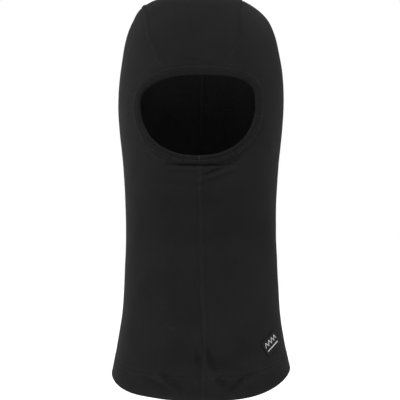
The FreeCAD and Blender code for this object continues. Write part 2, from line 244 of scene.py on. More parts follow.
def bearing(angle):
    """The pattern's direction at an angle from the front, towards the wearer's left."""
    return np.stack([np.sin(angle), -np.cos(angle)], -1)


def spread_out(*values):
    """The values as arrays of one shape."""
    return np.broadcast_arrays(*(np.asarray(value, float) for value in values))


def from_crown(pattern):
    return np.hypot(pattern[..., 0], pattern[..., 1])


def dot(a, b):
    return np.sum(a * b, -1)


def move_on(pattern, along_p, along_q, vector):
    """The pattern's points reached by a small step on the body's surface."""
    pp, pq, qq = dot(along_p, along_p), dot(along_p, along_q), dot(along_q, along_q)
    on_p, on_q = dot(along_p, vector), dot(along_q, vector)
    area = pp * qq - pq * pq
    return pattern + np.stack([(on_p * qq - on_q * pq) / area, (on_q * pp - on_p * pq) / area], -1)


def pattern_of(points):
    """The pattern's points at which the body lies nearest to these points, by height and bearing."""
    points = np.asarray(points, float)
    low, high = np.full(points.shape[:-1], MM), np.full(points.shape[:-1], HEM)
    for _ in range(40):
        distance = (low + high) / 2
        section = SECTION(distance)
        share = abs(points[..., 0]) / section[..., 1]
        exponent = squareness(distance, HEM)
        depth = (1 - np.minimum(share, 1) ** exponent) ** (1 / exponent)
        depth = np.where(points[..., 1] < section[..., 3], depth, -depth)
        below = (share >= 1) | (section[..., 0] - hem_drop(distance, depth) > points[..., 2])
        low, high = np.where(below, distance, low), np.where(below, high, distance)
    angle = np.arctan2(points[..., 0] / section[..., 1], depth)
    return distance[..., None] * bearing(angle)


def front_pattern(places):
    """The pattern's points at places, x and z, on the front of the body."""
    x, z = places[..., 0], places[..., 1]
    return pattern_of(np.stack([x, np.full_like(x, -1.0), z], -1))


# ---- outlines read from the frame


def measure_opening():
    """Middle, widest level and half sizes of the opening, inside the CAD band's fold."""
    x, _, z = cad_points("face_band").T

    def inner_edges(values, others, level, reach):
        """The two values next to the middle, where the others are near a level."""
        near = values[abs(others - level) < reach]
        middle = (values.min() + values.max()) / 2
        return near[near < middle].max(), near[near > middle].min()

    bottom, top = inner_edges(z, x, (x.min() + x.max()) / 2, 6 * MM)
    widest = top - WIDEST_SHARE * (top - bottom)
    right, left = inner_edges(x, z, widest, 4 * MM)
    return (left + right) / 2, widest, (left - right) / 2, top - widest, widest - bottom


OPENING_X, OPENING_Z, OPENING_HALF_WIDTH, OPENING_ABOVE, OPENING_BELOW = measure_opening()
UPPER_CORNER_LEFT, UPPER_CORNER_RIGHT, LOWER_CORNER = 3.3, 2.3, 2.2


def opening_reach(angle):
    """Distance from the opening's middle to its edge, in a direction in radians."""
    across, up = np.cos(angle), np.sin(angle)
    upper = np.where(across > 0, UPPER_CORNER_LEFT, UPPER_CORNER_RIGHT)
    exponent = np.where(up > 0, upper, LOWER_CORNER)
    height = np.where(up > 0, OPENING_ABOVE, OPENING_BELOW)
    reach = abs(across / OPENING_HALF_WIDTH) ** exponent + abs(up / height) ** exponent
    return reach ** (-1 / exponent)


def opening_outline(angle):
    radius = opening_reach(angle)
    return np.stack([OPENING_X + radius * np.cos(angle), OPENING_Z + radius * np.sin(angle)], -1)


def rim(angle, outward):
    """The pattern's points this far outside the opening's edge, measured along the fabric."""
    angle, outward = spread_out(angle, outward)
    edge = opening_outline(angle)
    run = unit(opening_outline(angle + 0.02) - opening_outline(angle - 0.02))
    away = np.stack([run[..., 1], -run[..., 0]], -1)
    step = edge + away * MM
    rise = body(front_pattern(step)) - body(front_pattern(edge))
    slope = np.hypot(1, rise[..., 1] / MM)
    return front_pattern(edge + away * (outward / slope)[..., None])


def seam_curve(node, degree):
    """p against q along the middle of a CAD seam band, on the pattern, and where it begins and ends."""
    pattern = pattern_of(cad_points(node))
    fit = np.polynomial.Polynomial.fit(pattern[:, 1], pattern[:, 0], degree)
    return fit, pattern[:, 1].min(), pattern[:, 1].max()


LEFT_SEAM = seam_curve("crown_seam_left", 7)
RIGHT_SEAM = seam_curve("crown_seam_right", 7)
FRONT_SEAM = seam_curve("front_seam", 1)
BACK_SEAM = seam_curve("back_seam", 1)


def seam_start(seam, first, last):
    """The direction, on the opening, in which a seam meets the panels' cut edge."""
    angles = np.linspace(first, last, 400)
    edge = rim(angles, RAW_EDGE)
    return float(angles[np.argmin(abs(seam[0](edge[:, 1]) - edge[:, 0]))])


SEAM_ANGLE_LEFT = seam_start(LEFT_SEAM, 0.3, 1.4)
SEAM_ANGLE_RIGHT = seam_start(RIGHT_SEAM, 1.8, 2.9)
CHIN_ANGLE = seam_start(FRONT_SEAM, -1.8, -1.3)
CROWN_END_WIDTH = 3 * MM


def crown_end():
    """q at which the crown seams have come together behind the head."""
    q = np.linspace(LEFT_SEAM[2] - 10 * MM, LEFT_SEAM[2] + 20 * MM, 300)
    width = LEFT_SEAM[0](q) - RIGHT_SEAM[0](q)
    return float(q[np.argmin(abs(width - CROWN_END_WIDTH))])


CROWN_END = crown_end()


# ---- folds and creases


def make_waves():
    """Broad, faint unevenness of the knit, as sine waves in space."""
    waves = []
    for length_mm, size_mm in ((90, 0.22), (55, 0.18), (38, 0.13), (24, 0.08), (15, 0.05)):
        for _ in range(3):
            direction = unit(rng.normal(size=3)) * 2 * math.pi / (length_mm * MM)
            waves.append((direction, rng.uniform(0, 2 * math.pi), size_mm * MM))
    return waves


def crease(x, z, start, end, width, height):
    """A soft ridge, or with negative height a valley, along a line seen from the front."""
    (x0, z0), (x1, z1) = start, end
    length = math.hypot(x1 - x0, z1 - z0)
    along = ((x - x0) * (x1 - x0) + (z - z0) * (z1 - z0)) / length**2
    away = ((x - x0) * (z1 - z0) - (z - z0) * (x1 - x0)) / length
    # it narrows and fades out towards both ends
    ends = smooth(2 * along + 0.4) * smooth(2.4 - 2 * along)
    return height * ends * bell(away, width * (0.5 + 0.5 * ends))


# Creases seen from the front, in millimetres: x and height of both ends, half width, and height
# of the ridge. The heights of the ends count from the band's lower edge here and from the hem below.
CHIN_CREASES = [
    # a deep line under the band, and the slack below it
    (-35, 0.2, 31, 0.4, 1.9, -2.7), (24, 0.8, 40, 6, 1.6, -1.6), (-32, -3.8, -2, -4, 2.4, 1.2),
    (-34, -8, 0, -9, 4, -0.5), (-62, -17, 2, -20, 5, -1.1), (-60, -28, 10, -30, 7, 0.4),
    # the slanting fold that runs from the band's lower left to the front seam
    (32, 0.6, 4, -10.4, 2, -2.2), (34, -3, -4, -17, 2.2, 1.5), (36, -8, 6, -21, 3.5, -0.5),
    # two light lines where the band turns down to the chin
    (-54, 12, -47, 4, 1.2, -0.7), (-49, 13, -40, 4.5, 1.2, 0.5), (49, 6, 56, 15, 1.4, -0.5),
    # over the band's upper edge
    (-17, 104.6, -4, 103, 2.2, -0.7), (0, 101, 16, 98, 2.6, -0.6),
]
HEM_CREASES = [
    (-6, 50, -3, 20, 3, -2), (3, 52, 15, 26, 3.6, -3.2), (-10, 40, 38, 26, 8, -2.8),
    (14, 21, 24, 15, 4.6, -3.6), (2, 12, 30, 6, 5, 1), (28, 7, 42, 22, 3, -3.2),
    (38, 19, 54, 27, 3, -2.2), (23, 9, 29, 24, 3.2, 1.1), (48, 12, 61, 22, 4.5, 0.9),
    (44, 54, 28, 30, 6, -2), (-60, 24, -30, 7, 2.9, -2.8), (-40, 27, -16, 8, 3.2, -3),
    (-46, 24, -26, 10, 3, 1.2), (-14, 22, -5, 8, 4, 1.2), (-26, 56, -17, 32, 8, -1.8),
    (-37, 64, -37, 30, 6, 1.1), (-78, 60, -60, 34, 7, 0.9), (60, 60, 48, 36, 6, 0.9),
]


def make_creases():
    creases = []
    chin_level = OPENING_Z - OPENING_BELOW - BAND_WIDTH
    for level, table in ((chin_level, CHIN_CREASES), (CAD_BOX[0].z, HEM_CREASES)):
        for x0, z0, x1, z1, width, height in table:
            ends = (x0 * MM, level + z0 * MM), (x1 * MM, level + z1 * MM)
            creases.append((*ends, width * MM, height * MM))
    return creases


# Folds across the nape, in millimetres: height on the back, half width, and height of the ridge
NAPE_FOLDS = [(-48, 7, -1.0), (-66, 8, 0.9), (-88, 8, -1.4), (-108, 9, 1.0), (-131, 10, -1.1),
              (-156, 12, 0.7), (-188, 14, -0.6)]
WAVES = make_waves()
CREASES = make_creases()
PUCKERS = rng.uniform(0, 2 * math.pi, 6)


def seam_relief(pattern, metric):
    """The ridge along each flat seam, with a groove at each side of its threads."""
    p, q = pattern[..., 0], pattern[..., 1]
    lift = np.zeros_like(p)
    for seam, straight in ((LEFT_SEAM, False), (RIGHT_SEAM, False), (FRONT_SEAM, True), (BACK_SEAM, True)):
        fit, low, high = seam
        reach = 4 * MM
        near = smooth((q - low) / reach + 1) * smooth((high - q) / reach + 1)
        bend = 1 if straight else np.sqrt(1 + fit.deriv()(np.clip(q, low, high)) ** 2)
        away = abs(p - fit(np.clip(q, low, high))) * metric / bend / MM
        ridge = 0.3 * bell(away, 1.8) - 0.15 * bell(away - 3.0, 1.1)
        lift += near * ridge * MM
    return lift


def band_relief(points):
    """Short puckers that spread out from the face band's stitching."""
    x, z = points[..., 0] - OPENING_X, points[..., 2] - OPENING_Z
    angle = np.arctan2(z, x)
    outward = (np.hypot(x, z) - opening_reach(angle)) / MM
    ripple = np.zeros_like(x)
    for count, phase in zip((23, 31, 41, 57, 73, 97), PUCKERS):
        ripple += np.sin(count * angle + phase)
    fade = np.exp(-np.maximum(outward - 8, 0) / 4.5) * (points[..., 1] < 0)
    return (0.09 * ripple * fade - 0.1 * bell(outward - 10.2, 1.2)) * MM


def relief(pattern, points, metric):
    """Height of the garment's folds over the smooth body."""
    x, y, z = np.moveaxis(points, -1, 0)
    distance = from_crown(pattern)
    section = SECTION(np.minimum(distance, HEM))
    # creases fade out towards the outline seen from the front
    facing = smooth((1 - abs(x) / np.maximum(section[..., 1], MM)) / 0.25)
    lift = np.zeros_like(x)
    for direction, phase, size in WAVES:
        lift += size * np.sin(points @ direction + phase)
    lift *= 0.25 + 0.75 * facing
    front = smooth((section[..., 3] - y) / (30 * MM)) * facing
    for start, end, width, height in CREASES:
        lift += front * crease(x, z, start, end, width, height)
    back = smooth((y - section[..., 3]) / (40 * MM)) * facing
    for level, width, height in NAPE_FOLDS:
        bow = level * MM - 9 * MM * (1 - (x / (80 * MM)) ** 2)
        lift += back * height * MM * bell(z - bow, width * MM)
    # the doubled hem stands a little proud, with a groove along its stitching
    above = (HEM - distance) / MM
    lift += 0.35 * MM * smooth((HEM_FOLD / MM + 1 - above) / 2)
    for row in HEM_ROWS:
        lift -= 0.4 * MM * bell(above - row / MM, 0.8)
    lift += 0.12 * MM * smooth((12 - above) / 10) * np.sin(np.arctan2(pattern[..., 0], -pattern[..., 1]) * 46)
    return lift + seam_relief(pattern, metric) + band_relief(points)


def cloth(pattern, lift):
    """Points of the garment, raised off its outer face by lift, which is negative inside."""
    points = body(pattern)
    along_p, along_q = slopes(pattern)
    normal = unit(np.cross(along_p, along_q))
    total = lift + relief(pattern, points, np.linalg.norm(along_p, axis=-1))
    points = points + normal * total[..., None]
    pull_aside(pattern, *np.moveaxis(points, -1, 0))
    return points


def pull_aside(pattern, x, y, z):
    """Unevenness of the filled garment as a whole: it moves the points in place."""
    x += SEAM_SWAY * bell(x, 30 * MM) * bell(z - SWAY_LEVEL, 36 * MM) * (y < 0)
    x -= CROWN_LEAN * smooth((z - LEAN_LEVEL) / (18 * MM))
    outer_side = smooth((x - 60 * MM) / (20 * MM))
    for height, reach, size in LEFT_BULGES:
        x += size * outer_side * bell(z - height, reach)
    full = np.maximum(from_crown(pattern), MM)
    across = np.clip(x / np.maximum(SECTION(np.minimum(full, HEM))[..., 1], MM), -1, 1)
    x += CROWN_SPREAD * bell(z - SPREAD_LEVEL, 20 * MM) * smooth(-y / (20 * MM)) * np.sin(math.pi * across)
    right_corner = smooth((-pattern[..., 0] / full - 0.45) / 0.45)
    z -= CORNER_DROP * right_corner * smooth(1 - (HEM - full) / CORNER_LENGTH)


class Track:
    """A line on the pattern, followed by its true length along the fabric."""

    def __init__(self, pattern, closed=False):
        self.closed = closed
        self.pattern = np.concatenate([pattern, pattern[:1]]) if closed else pattern
        self.along = lengths_along(body(self.pattern))
        self.length = self.along[-1]

    def find(self, along):
        along = along % self.length if self.closed else along
        return np.stack([np.interp(along, self.along, self.pattern[:, k]) for k in (0, 1)], -1)

    def place(self, along, aside):
        """The pattern's points at this length, and this far to the left of the way it runs."""
        along, aside = spread_out(along, aside)
        here = self.find(along)
        step = 1.5 * MM
        heading = self.find(along + step) - self.find(along - step)
        along_p, along_q = slopes(here)
        ahead = along_p * heading[..., :1] + along_q * heading[..., 1:]
        left = unit(np.cross(np.cross(along_p, along_q), ahead))
        return move_on(here, along_p, along_q, left * aside[..., None])

    def at(self, along, aside, lift):
        return cloth(self.place(along, aside), lift)


# ---- meshes


def put_in_scene(name, data):
    item = bpy.data.objects.new(name, data)
    bpy.context.scene.collection.objects.link(item)
    return item


def new_piece(node, ending, points, faces, materials, body_name="hood", uv=None, kinds=None, wear=None):
    """A smooth-shaded mesh that rides on a CAD body and replaces a CAD node. kinds gives each face's
    material, by number."""
    name = node + ending
    mesh = bpy.data.meshes.new(name)
    mesh.from_pydata(np.asarray(points).reshape(-1, 3).tolist(), [], np.asarray(faces).tolist())
    mesh.shade_smooth()
    for item in materials:
        mesh.materials.append(item)
    if uv is not None:
        corners = np.empty(len(mesh.loops), np.int32)
        mesh.loops.foreach_get("vertex_index", corners)
        layer = mesh.uv_layers.new(name="cloth")
        layer.data.foreach_set("uv", np.asarray(uv, np.float32).reshape(-1, 2)[corners].ravel())
    if kinds is not None:
        mesh.polygons.foreach_set("material_index", np.asarray(kinds, np.int32))
    if wear is not None:
        layer = mesh.attributes.new("wear", "FLOAT", "POINT")
        layer.data.foreach_set("value", np.asarray(wear, np.float32).ravel())
    mesh.update()
    piece = put_in_scene(name, mesh)
    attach(piece, body_name)
    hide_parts(node)
    return piece


def grid_faces(rows, columns, offset=0, flip=False, wrap_rows=False, wrap_columns=False):
    """Quads of a grid of points, row after row."""
    i = np.arange(rows if wrap_rows else rows - 1)[:, None]
    j = np.arange(columns if wrap_columns else columns - 1)[None, :]
    below, beside = (i + 1) % rows, (j + 1) % columns
    corners = [i * columns + j, below * columns + j, below * columns + beside, i * columns + beside]
    faces = np.stack([corner.ravel() for corner in corners], -1) + offset
    return faces[:, ::-1] if flip else faces


def closed_sheet(outer, inner):
    """Points, faces and kinds of face of a cloth with thickness, from its outer and inner grids."""
    rows, columns = outer.shape[:2]
    count = rows * columns
    index = np.arange(count).reshape(rows, columns)
    border = np.concatenate([index[0, :-1], index[:-1, -1], index[-1, :0:-1], index[:0:-1, 0]])
    following = np.roll(border, -1)
    edge = np.stack([border, following, following + count, border + count], -1)
    skins = grid_faces(rows, columns), grid_faces(rows, columns, count, flip=True)
    faces = np.concatenate([*skins, edge])
    kinds = np.arange(len(faces)) >= len(skins[0])
    return np.concatenate([outer.reshape(-1, 3), inner.reshape(-1, 3)]), faces, kinds


THREAD_SIDES = 6


def threads(paths, radius):
    """Round threads with closed ends, along paths that all have the same number of points."""
    paths = paths.reshape(-1, *paths.shape[-2:])
    number, count = paths.shape[:2]
    ahead = unit(np.gradient(paths, axis=1))
    up = np.broadcast_to([0.31, 0.22, 0.92], ahead.shape)
    side = unit(np.cross(ahead, up))
    over = np.cross(side, ahead)
    turn = 2 * math.pi * np.arange(THREAD_SIDES) / THREAD_SIDES
    taper = np.full(count, radius)
    taper[[0, -1]] *= 0.55
    ring = side[:, :, None] * np.cos(turn)[:, None] + over[:, :, None] * np.sin(turn)[:, None]
    points = paths[:, :, None] + ring * taper[:, None, None]
    wall = grid_faces(count, THREAD_SIDES, wrap_columns=True)
    cap = np.array([[0, 1, 2, 3], [0, 3, 4, 5]])
    one = np.concatenate([wall, cap, cap[:, ::-1] + (count - 1) * THREAD_SIDES])
    starts = np.arange(number) * count * THREAD_SIDES
    return points.reshape(-1, 3), (one[None] + starts[:, None, None]).reshape(-1, 4)


def joined(parts):
    """One mesh's points and faces from several."""
    points, faces, offset = [], [], 0
    for part_points, part_faces in parts:
        points.append(part_points)
        faces.append(part_faces + offset)
        offset += len(part_points)
    return np.concatenate(points), np.concatenate(faces)


def stitches(track, start, end, aside, lift, pitch=2.4 * MM, shift=0.0):
    """A row of needle stitches: short threads that dive into the fabric at both ends."""
    count = max(1, int((end - start) / pitch))
    t = np.linspace(0, 1, 7)
    begin = start + (np.arange(count) + shift) * (end - start) / count
    along = begin[:, None] + pitch * (0.05 + 0.9 * t) + rng.normal(0, 0.05 * MM, (count, 1))
    aside = aside + rng.normal(0, 0.05 * MM, (count, 1)) + 0 * t
    height = lift + NEEDLE * (2.4 * np.sin(math.pi * t) ** 0.6 - 1.6)
    return threads(track.at(along, aside, height + 0 * along), NEEDLE)


def zigzag(track, start, end, half_width, lift, pitch, middle=0.0):
    """A cover thread that runs to and fro across a seam."""
    turns = int((end - start) / pitch)
    along = np.linspace(start, end, turns * 6 + 1)
    phase = math.pi * (along - start) / pitch
    aside = middle + half_width * np.arcsin(0.96 * np.sin(phase)) / math.asin(0.96)
    height = lift + 0.5 * COVER * np.cos(2 * phase)
    return threads(track.at(along, aside, height), COVER)


def eased(count, start=1.0, end=1.0):
    """Steps from 0 to 1, closer together towards an end whose power is above 1."""
    t = np.linspace(0, 1, count)
    near, far = t**start, 1 - (1 - t) ** end
    return near * (1 - t) + far * t


def coons(left, right, bottom, top, u, v):
    """The patch inside four outlines of the pattern: left and right run along v."""
    u, v = u[:, None, None], v[None, :, None]
    corners = ((1 - u) * (1 - v) * left[0] + u * (1 - v) * right[0]
               + (1 - u) * v * left[-1] + u * v * right[-1])
    return (1 - u) * left + u * right + (1 - v) * bottom[:, None] + v * top[:, None] - corners


def between(start, end, t):
    start, end = np.asarray(start), np.asarray(end)
    return start + (end - start) * t[:, None]


def crown_line(side, t):
    """Along a crown seam from the opening to its end."""
    seam, angle = (LEFT_SEAM, SEAM_ANGLE_LEFT) if side > 0 else (RIGHT_SEAM, SEAM_ANGLE_RIGHT)
    start = rim(angle, RAW_EDGE)
    q = start[1] + (CROWN_END - start[1]) * t
    # the fitted seam ends short of the opening's edge
    p = seam[0](np.maximum(q, seam[1])) + (start[0] - seam[0](max(start[1], seam[1]))) * np.exp(-t * 12)
    # behind the head the two seams run together to a point
    point, taken = float(BACK_SEAM[0](CROWN_END)), 0.98
    p = point + (p - point) * (1 - taken * smooth((t - 0.93) / 0.07))
    return np.stack([p, q], -1)


def seam_steps():
    """Both panels of a crown seam have the same points along it, so that they butt without a gap."""
    return eased(160, 1.25, 1.25)


def pinned(line, start, end, t):
    """The line, moved evenly so that it begins and ends at these points."""
    return line + (start - line[0]) * (1 - t)[:, None] + (end - line[-1]) * t[:, None]


def crown_grid():
    u, v = eased(110, 1.3, 1.3), seam_steps()
    right, left = crown_line(-1, v), crown_line(1, v)
    front = rim(SEAM_ANGLE_RIGHT + (SEAM_ANGLE_LEFT - SEAM_ANGLE_RIGHT) * u, RAW_EDGE)
    front = pinned(front, right[0], left[0], u)
    return coons(right, left, front, between(right[-1], left[-1], u), u, v)


def side_grid(side):
    """Rows from the opening and the crown seam down to the hem, columns from the front seam round
    to the back seam. The corner where the crown seam meets the opening is on a column between."""
    u = eased(230, 1.25)
    front_t, rear_t = eased(120, 1.0, 1.5), seam_steps()
    edge = HEM - FOLD_RADIUS
    seam = crown_line(side, rear_t)
    upper = SEAM_ANGLE_LEFT if side > 0 else SEAM_ANGLE_RIGHT - 2 * math.pi
    chin = rim(CHIN_ANGLE, RAW_EDGE)
    foot_angle = math.atan2(float(FRONT_SEAM[0](-edge)), edge)
    opening = rim(upper + (CHIN_ANGLE - upper) * front_t, RAW_EDGE)
    opening = pinned(opening, seam[0], chin, front_t)
    heel_angle = side * math.pi
    knee_angle = side * math.radians(120)
    knee, foot, heel = edge * bearing([knee_angle, foot_angle, heel_angle])
    split = between(seam[0], knee, u)
    q = CROWN_END + (heel[1] - CROWN_END) * u
    fade = 0.5 * MM
    back = np.stack([heel[0] + (seam[-1, 0] - heel[0]) * np.exp(-(q - CROWN_END) / fade), q], -1)
    back[0] = seam[-1]
    # the power turns the lines outward, so that they clear the opening's upper corner
    hem_front = edge * bearing(knee_angle + (foot_angle - knee_angle) * front_t**1.6)
    hem_rear = edge * bearing(knee_angle + (heel_angle - knee_angle) * rear_t)
    front = coons(opening, hem_front, split, between(chin, foot, u), u, front_t)
    rear = coons(seam, hem_rear, split, back, u, rear_t)
    grid = np.concatenate([front[:, ::-1], rear[:, 1:]], 1)
    return grid if side > 0 else grid[:, ::-1]


def with_hem(grid):
    """Rows of the pattern and lifts of the outer and inner skins, with the hem folded up inside."""
    rows = list(grid)
    outer = [0.0] * len(rows)
    inner = [-THICKNESS] * len(rows)
    last = grid[-1] / (HEM - FOLD_RADIUS)
    thin = FOLD_RADIUS - THICKNESS
    for turn in np.linspace(0, math.pi, 11)[1:]:
        rows.append(last * (HEM - FOLD_RADIUS + FOLD_RADIUS * math.sin(turn)))
        outer.append(-FOLD_RADIUS + FOLD_RADIUS * math.cos(turn))
        inner.append(-FOLD_RADIUS + thin * math.cos(turn))
    for share in np.linspace(0, 1, 16)[1:]:
        rows.append(last * (HEM - FOLD_RADIUS - (HEM_FOLD - FOLD_RADIUS) * share))
        outer.append(outer[-1])
        inner.append(inner[-1])
    return np.array(rows), np.array(outer), np.array(inner)


# ---- materials


class Nodes:
    """A small helper to wire up a material's nodes."""

    def __init__(self, name):
        self.material = bpy.data.materials.new(name)
        self.material.use_nodes = True
        self.tree = self.material.node_tree
        self.shader = self.tree.nodes["Principled BSDF"]

    def add(self, kind, **settings):
        node = self.tree.nodes.new("ShaderNode" + kind)
        for key, value in settings.items():
            setattr(node, key, value)
        return node

    def plug(self, value, socket):
        if isinstance(value, bpy.types.NodeSocket):
            self.tree.links.new(value, socket)
        else:
            socket.default_value = value

    def wired(self, kind, values, **settings):
        """The result of a new node whose inputs take these values in order."""
        node = self.add(kind, **settings)
        for value, socket in zip(values, node.inputs):
            self.plug(value, socket)
        return node.outputs[0]

    def maths(self, operation, *values):
        return self.wired("Math", values, operation=operation)

    def times(self, value, factor):
        return self.maths("MULTIPLY", value, factor)

    def stripes(self, place, pitch_mm):
        """Even waves along a place in metres, from -1 to 1."""
        return self.maths("SINE", self.times(place, 2 * math.pi * 1000 / pitch_mm))

    def ramp(self, value, low, high, out_low, out_high):
        values = value, low, high, out_low, out_high
        return self.wired("MapRange", values, interpolation_type="SMOOTHSTEP")

    def cloth_place(self):
        """Width and length on the cloth, in metres."""
        split = self.add("SeparateXYZ")
        self.plug(self.add("UVMap", uv_map="cloth").outputs[0], split.inputs[0])
        return split.outputs[0], split.outputs[1]

    def noise(self, size_mm, detail):
        node = self.add("TexNoise")
        self.plug(self.add("TexCoord").outputs["Object"], node.inputs["Vector"])
        node.inputs["Scale"].default_value = 1000 / size_mm
        node.inputs["Detail"].default_value = detail
        return node.outputs["Fac"]

    def colour(self, base, factor):
        mix = self.add("VectorMath", operation="SCALE")
        mix.inputs[0].default_value = base
        self.plug(factor, mix.inputs["Scale"])
        self.plug(mix.outputs[0], self.shader.inputs["Base Color"])

    def bump(self, height, strength, depth_mm):
        node = self.add("Bump")
        for name, value in (("Strength", strength), ("Distance", depth_mm * MM), ("Height", height)):
            self.plug(value, node.inputs[name])
        self.plug(node.outputs[0], self.shader.inputs["Normal"])

    def finish(self, roughness, sheen=0.0, specular=0.3):
        for name, value in (("Roughness", roughness), ("Sheen Weight", sheen),
                            ("Sheen Roughness", 0.45), ("Specular IOR Level", specular)):
            self.plug(value, self.shader.inputs[name])
        return self.material


def jersey(nodes, wale_mm, course_mm):
    """Height of plain knit's columns of V-shaped stitches, from 0 to 1."""
    u, v = nodes.cloth_place()
    wale = nodes.maths("ABSOLUTE", nodes.stripes(u, 2 * wale_mm))
    course = nodes.times(v, 2 * math.pi * 1000 / course_mm)
    slant = nodes.maths("SINE", nodes.maths("ADD", course, nodes.times(wale, 2.2)))
    return nodes.times(wale, nodes.maths("MULTIPLY_ADD", slant, 0.35, 0.65))


def knit_material(name, base, wale_mm=0.9, course_mm=0.75, sheen=0.01, nap=0.0):
    """Plain knit: stitches, uneven yarn, faint dye clouds, a few lint specks and worn edges."""
    nodes = Nodes(name)
    stitch = jersey(nodes, wale_mm, course_mm)
    yarn, cloud = nodes.noise(1.6, 4), nodes.noise(34, 2)
    specks = nodes.ramp(nodes.noise(2.4, 0), 0.76, 0.8, 0.0, 0.3)
    wear = nodes.add("Attribute", attribute_name="wear").outputs["Fac"]
    shade = nodes.maths("MULTIPLY_ADD", stitch, 0.35 * (1 - nap), 0.66 + 0.35 * nap)
    shade = nodes.times(shade, nodes.ramp(yarn, 0.25, 0.75, 0.78, 1.24))
    shade = nodes.times(shade, nodes.ramp(cloud, 0.3, 0.7, 0.93, 1.08))
    shade = nodes.maths("ADD", shade, nodes.times(wear, 0.3))
    nodes.colour(base, nodes.maths("ADD", shade, specks))
    fuzz = nodes.times(yarn, 0.45 + nap)
    nodes.bump(nodes.maths("ADD", nodes.times(stitch, 1 - nap), fuzz), 0.55, 0.28)
    return nodes.finish(nodes.ramp(yarn, 0.3, 0.7, 0.85, 0.98), sheen, 0.03)


def thread_material(name, base, twist_mm=0.5, roughness=0.8, sheen=0.02):
    """Spun thread: a fine slanting twist and uneven tone."""
    nodes = Nodes(name)
    uneven = nodes.noise(twist_mm, 2)
    broad = nodes.ramp(nodes.noise(5, 2), 0.3, 0.7, 0.85, 1.15)
    nodes.colour(base, nodes.times(nodes.ramp(uneven, 0.3, 0.7, 0.7, 1.3), broad))
    nodes.bump(uneven, 0.5, 0.08)
    return nodes.finish(roughness, sheen, 0.15)


def damask_material(name, base):
    """Woven label: a fine diagonal of floats."""
    nodes = Nodes(name)
    u, v = nodes.cloth_place()
    warp = nodes.stripes(nodes.maths("ADD", u, v), 0.55)
    weft = nodes.stripes(v, 0.38)
    weave = nodes.maths("MULTIPLY_ADD", nodes.times(warp, weft), 0.5, 0.5)
    uneven = nodes.ramp(nodes.noise(1.2, 3), 0.3, 0.7, 0.8, 1.2)
    nodes.colour(base, nodes.times(nodes.maths("MULTIPLY_ADD", weave, 0.5, 0.75), uneven))
    nodes.bump(weave, 0.5, 0.1)
    return nodes.finish(nodes.ramp(weave, 0, 1, 0.5, 0.7), 0.005, 0.03)


def satin_material(name, base):
    """Satin ribbon: long floats one way and soft creases."""
    nodes = Nodes(name)
    weave = nodes.maths("MULTIPLY_ADD", nodes.stripes(nodes.cloth_place()[0], 0.3), 0.5, 0.5)
    cloud = nodes.ramp(nodes.noise(9, 2), 0.3, 0.7, 0.9, 1.05)
    nodes.colour(base, nodes.times(nodes.maths("MULTIPLY_ADD", weave, 0.12, 0.88), cloud))
    nodes.bump(nodes.maths("ADD", weave, nodes.noise(4, 3)), 0.3, 0.08)
    return nodes.finish(0.34, 0.2, 0.5)


SHELL_KNIT = knit_material("black_knit", (0.0052, 0.0052, 0.0055))
# The crown's knit runs the other way. Its base colour is a little darker than the sides', which is painted
# shade for the crown turned away from the side lights.
CROWN_KNIT_PAINTED_SHADE = knit_material("black_knit_turned_painted_shade", (0.0049, 0.0049, 0.0052), 0.75, 0.9)
FLEECE = knit_material("black_brushed_inside", (0.032, 0.032, 0.033), 1.2, 1.1, 0.03, 0.6)
BAND_KNIT = knit_material("black_rib_band", (0.0036, 0.0036, 0.0039), 1.1, 0.8)
THREAD = thread_material("black_thread", (0.0034, 0.0034, 0.0037))
INSIDE_THREAD = thread_material("black_inside_thread", (0.048, 0.048, 0.05), sheen=0.03)
ELASTIC = thread_material("covered_elastic", (0.02, 0.02, 0.021), 0.8, 0.7, 0.1)
LABEL_CLOTH = damask_material("black_damask", (0.0032, 0.0032, 0.0034))
LABEL_YARN = thread_material("grey_yarn", (0.2, 0.2, 0.205), 0.6, 0.5, 0.2)
SATIN = satin_material("off_white_satin", (0.58, 0.58, 0.55))


# ---- camera, floor and light


def make_camera():
    """Level with the middle of the garment, straight in front, with a long lens."""
    distance, view_width = 2.4, 0.4112
    middle_x, middle_z = -0.9 * MM, -97.8 * MM
    camera = bpy.data.cameras.new("camera")
    camera.sensor_width = 36
    camera.lens = camera.sensor_width * distance / view_width
    camera.clip_end = 50
    holder = put_in_scene("camera", camera)
    holder.location = (middle_x, -distance, middle_z)
    holder.rotation_euler = (math.pi / 2, 0, 0)
    bpy.context.scene.camera = holder


def area_light(name, place, target, size, power):
    light = bpy.data.lights.new(name, "AREA")
    light.shape = "DISK"
    light.size = size
    light.energy = power
    holder = put_in_scene(name, light)
    holder.location = place
    holder.rotation_euler = (Vector(target) - Vector(place)).to_track_quat("-Z", "Y").to_euler()


def make_stage():
    scene = bpy.context.scene
    scene.view_settings.view_transform = "Standard"
    world = bpy.data.worlds.new("studio")
    world.use_nodes = True
    world.node_tree.nodes["Background"].inputs["Color"].default_value = (1, 1, 1, 1)
    scene.world = world
    middle = (0, 0, -0.09)
    area_light("key", (-0.75, -1.5, 1.55), middle, 0.5, 94)
    area_light("left_rim", (-1.6, -0.1, 0.5), middle, 0.8, 16)
    area_light("right_rim", (1.6, -0.4, 0.8), middle, 0.8, 32)
    mesh = bpy.data.meshes.new("floor")
    half, level = 8, CAD_BOX[0].z - 0.2
    corners = [(-half, -half, level), (half, -half, level), (half, half, level), (-half, half, level)]
    mesh.from_pydata(corners, [], [(0, 1, 2, 3)])
    pale = Nodes("pale_floor")
    pale.colour((0.9, 0.9, 0.9), pale.ramp(pale.noise(400, 2), 0.3, 0.7, 0.98, 1.02))
    pale.shader.inputs["Emission Color"].default_value = (1, 1, 1, 1)
    pale.shader.inputs["Emission Strength"].default_value = 0.25
    # clear from underneath, so that it never hides the object
    above = pale.maths("SUBTRACT", 1.0, pale.add("NewGeometry").outputs["Backfacing"])
    pale.plug(above, pale.shader.inputs["Alpha"])
    mesh.materials.append(pale.finish(0.8))
    put_in_scene("floor", mesh)


# ---- panels


